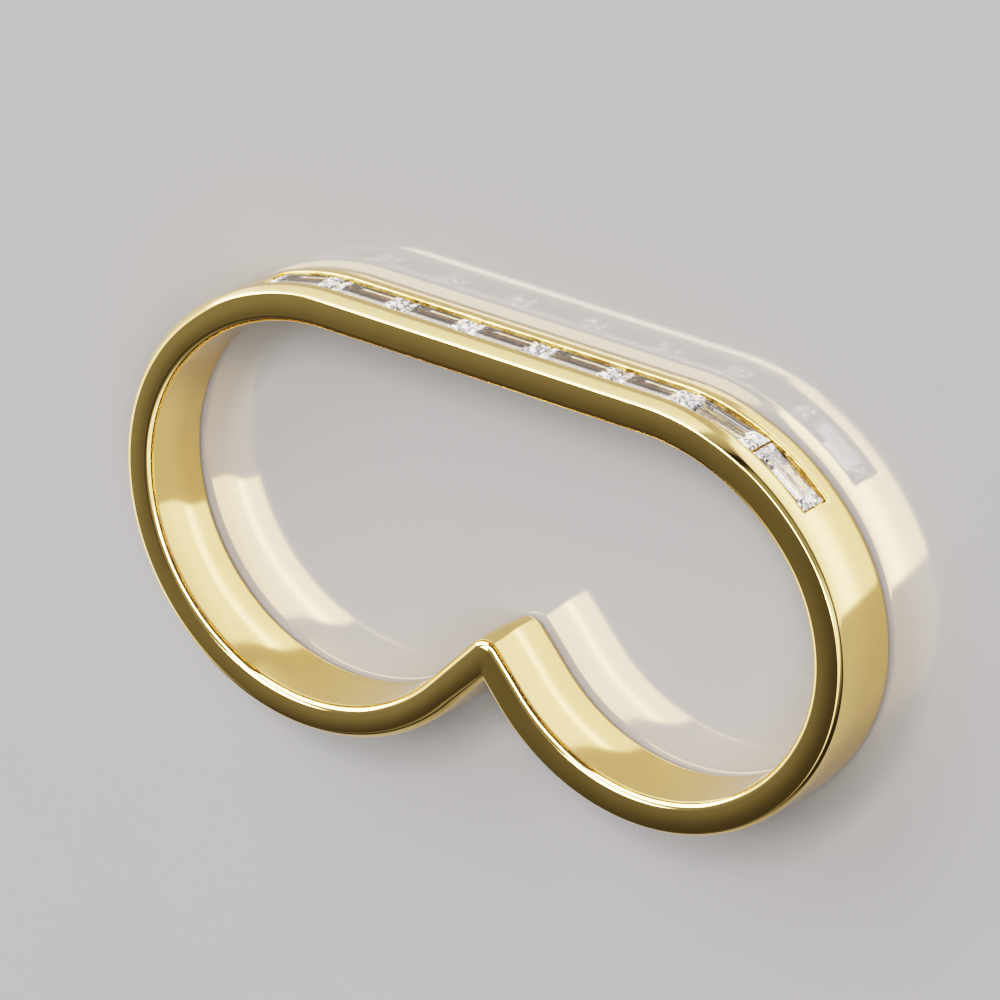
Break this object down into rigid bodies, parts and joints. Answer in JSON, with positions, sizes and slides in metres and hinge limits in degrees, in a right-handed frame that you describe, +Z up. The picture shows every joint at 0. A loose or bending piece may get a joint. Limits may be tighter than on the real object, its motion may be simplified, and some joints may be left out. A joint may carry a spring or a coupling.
{
  "type": "two-finger ring with channel-set baguettes",
  "caption": "Flat gold band bent round two finger spaces, with step-cut stones set end to end in its straight bar.",
  "frame": {"origin": "middle of the underside of the bounding box, with the ring lying on its side", "axes": "+X along the straight bar toward the smaller finger space, +Y from the lower lobes to the bar, +Z up across the width of the metal"},
  "size_m": [0.0382, 0.0206, 0.0038],
  "materials": {
    "gold": "polished yellow gold",
    "diamond": "polished, step cut"
  },
  "bodies": {
    "root": {"band": "gold", "baguette_1": "diamond", "baguette_2": "diamond", "baguette_3": "diamond", "baguette_4": "diamond", "baguette_5": "diamond", "baguette_6": "diamond", "baguette_7": "diamond", "baguette_8": "diamond"}
  },
  "joints": []
}
